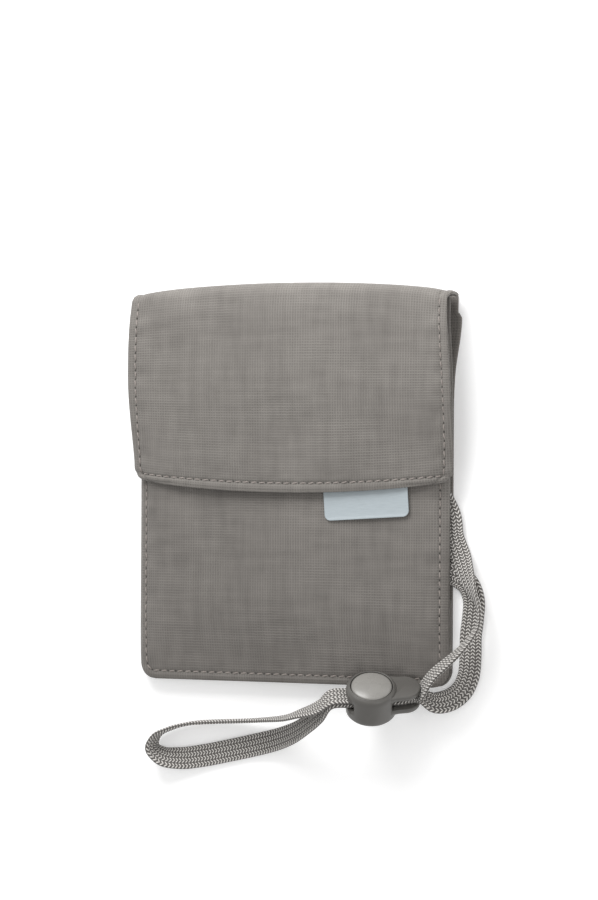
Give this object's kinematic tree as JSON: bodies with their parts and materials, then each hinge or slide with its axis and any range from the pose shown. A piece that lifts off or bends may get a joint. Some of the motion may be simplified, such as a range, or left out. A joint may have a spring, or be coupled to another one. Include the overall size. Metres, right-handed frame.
{
  "type": "neck pouch wallet",
  "caption": "Flat cloth neck pouch lying closed on its back, with a hinged flap, a zip, a label tab, and a flat neck strap gathered by a push-button cord lock",
  "frame": {"origin": "on the surface it lies on, under the middle of the pouch's own outline", "axes": "+X across the pouch, +Y from its bottom edge to its top fold, +Z out of its front"},
  "size_m": [0.152, 0.1994, 0.0286],
  "materials": {
    "pouch_cloth": "matt ripstop nylon",
    "pouch_lining": "matt nylon",
    "strap_web": "flat braid, light and dark",
    "loop_pile": "pile",
    "hook_tape": "hooks",
    "label_cloth": "satin woven",
    "zip_tape": "matt",
    "zip_plastic": "satin",
    "zip_metal": "satin",
    "lock_shell": "satin",
    "lock_push": "satin",
    "spring_steel": "bright"
  },
  "bodies": {
    "pouch": {"rear_panel": "pouch_cloth", "rear_seam_left": "pouch_cloth", "rear_seam_right_low": "pouch_cloth", "rear_seam_right_top": "pouch_cloth", "rear_seam_bottom": "pouch_cloth", "gusset_left": "pouch_cloth", "gusset_right": "pouch_cloth", "front_panel": "pouch_cloth", "front_top_strip": "pouch_cloth", "fold_strip": "pouch_cloth", "back_panel": "pouch_lining", "front_inner_panel": "pouch_lining", "strap_run": "strap_web", "strap_hank": "strap_web", "strap_end": "strap_web", "strap_anchor_left": "strap_web", "strap_anchor_right": "strap_web", "loop_patch": "loop_pile", "zip_tape_lower": "zip_tape", "zip_tape_upper": "zip_tape", "zip_teeth": "zip_plastic", "zip_stop_left": "zip_metal", "zip_stop_right": "zip_metal"},
    "slider": {"zip_slider": "zip_metal"},
    "puller": {"zip_puller": "zip_metal"},
    "flap": {"flap_shell": "pouch_cloth", "hook_patch": "hook_tape", "label_tab": "label_cloth"},
    "lock": {"lock_barrel": "lock_shell", "lock_base": "lock_shell", "lock_spring": "spring_steel"},
    "button": {"lock_button": "lock_push"}
  },
  "joints": [
    {"name": "flap_hinge", "type": "hinge", "parent": "pouch", "child": "flap", "pos_m": [0, 0.082, 0.0085], "axis": [-1, 0, 0], "range_deg": [0, 180]},
    {"name": "zip_slide", "type": "slide", "parent": "pouch", "child": "slider", "axis": [-1, 0, 0], "range_m": [0, 0.095]},
    {"name": "puller_swivel", "type": "hinge", "parent": "slider", "child": "puller", "pos_m": [0.0466, 0.063, 0.0112], "axis": [0, 0, 1], "range_deg": [-20, 20]},
    {"name": "lock_slide", "type": "slide", "parent": "pouch", "child": "lock", "axis": [-0.8978, -0.0535, 0.4372], "range_m": [0, 0.004]},
    {"name": "button_press", "type": "slide", "parent": "lock", "child": "button", "axis": [-0.2307, -0.7884, -0.5703], "range_m": [0, 0.0022], "stiffness_N_per_m": 800}
  ]
}
